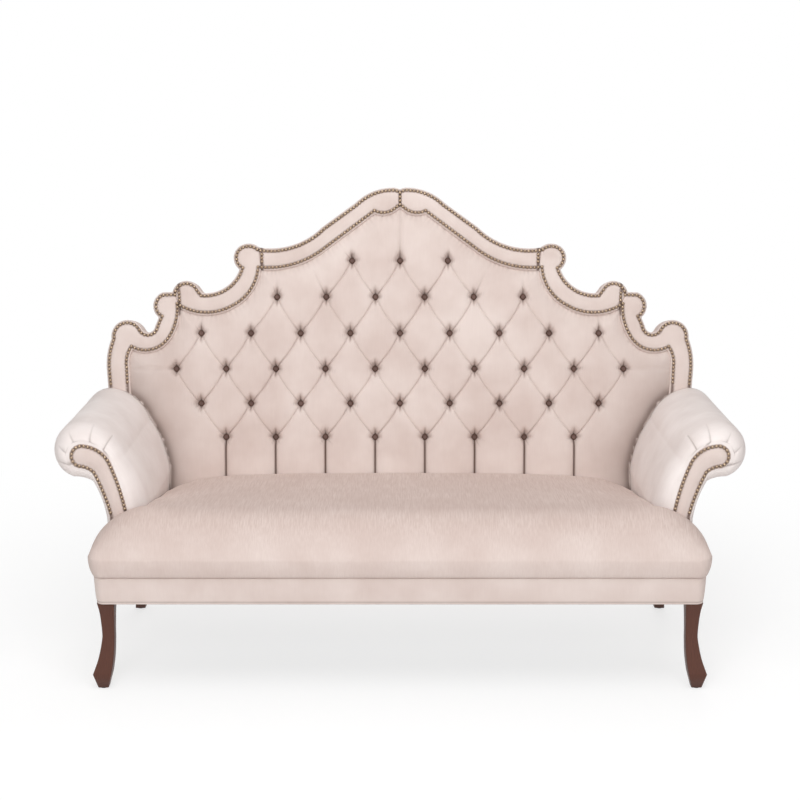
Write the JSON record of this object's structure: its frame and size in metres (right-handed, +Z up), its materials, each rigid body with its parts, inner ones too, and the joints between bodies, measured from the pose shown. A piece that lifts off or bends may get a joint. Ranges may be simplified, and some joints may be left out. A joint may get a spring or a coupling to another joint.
{
  "type": "high back settee",
  "caption": "High back settee with a scalloped, button tufted back in a nail trimmed border, scroll arms, a sprung seat and swept wooden legs.",
  "frame": {"origin": "on the floor, below the middle of the bounding box", "axes": "+X along the width, to the right as one looks at the front; +Y from the front to the back; +Z up"},
  "size_m": [1.9402, 0.8571, 1.3423],
  "materials": {
    "upholstery": "matt velvet",
    "button_cloth": "matt velvet",
    "frame_timber": "planed, unfinished",
    "plywood": "sanded, unfinished",
    "dark_wood": "dark stain, satin",
    "antique_brass": "antiqued",
    "spring_steel": "plain",
    "hessian": "coarse weave",
    "dust_cloth": "thin non-woven",
    "twine": "waxed",
    "washer_plastic": "matt",
    "glide_plastic": "matt"
  },
  "bodies": {
    "root": {"front_seat_rail": "frame_timber", "front_lobe_block_left": "frame_timber", "front_lobe_block_right": "frame_timber", "rear_seat_rail": "frame_timber", "side_rail_left": "frame_timber", "side_rail_right": "frame_timber", "seat_stretcher": "frame_timber", "corner_blocks": "frame_timber", "seat_springs": "spring_steel", "spring_clips": "spring_steel", "spring_cover": "hessian", "seat_cushion": "upholstery", "seat_welt": "upholstery", "seat_band": "upholstery", "dust_cover": "dust_cloth", "back_board": "plywood", "back_rim_left": "frame_timber", "back_rim_right": "frame_timber", "back_stud_left": "frame_timber", "back_stud_right": "frame_timber", "back_cross_rail": "frame_timber", "lower_back_rail": "frame_timber", "outside_back_panel": "upholstery", "back_edge_strip": "upholstery", "border_side_left": "upholstery", "border_scroll_left": "upholstery", "border_crest_left": "upholstery", "border_crest_right": "upholstery", "border_scroll_right": "upholstery", "border_side_right": "upholstery", "tufted_back_pad": "upholstery", "back_buttons": "button_cloth", "button_twine": "twine", "twine_washers": "washer_plastic", "outer_border_nails": "antique_brass", "inner_border_nails": "antique_brass", "divider_nails": "antique_brass", "arm_facing_left": "upholstery", "arm_facing_right": "upholstery", "arm_front_plank_left": "frame_timber", "arm_front_plank_right": "frame_timber", "arm_rear_plank_left": "frame_timber", "arm_rear_plank_right": "frame_timber", "arm_roll_rail_left": "frame_timber", "arm_roll_rail_right": "frame_timber", "arm_waist_rail_left": "frame_timber", "arm_waist_rail_right": "frame_timber", "arm_pad_left": "upholstery", "arm_pad_right": "upholstery", "outside_arm_panel_left": "upholstery", "outside_arm_panel_right": "upholstery", "arm_nails_left": "antique_brass", "arm_nails_right": "antique_brass", "front_leg_left": "dark_wood", "front_leg_right": "dark_wood", "rear_leg_left": "dark_wood", "rear_leg_right": "dark_wood", "leg_glides": "glide_plastic", "leg_bolts": "spring_steel"}
  },
  "joints": []
}
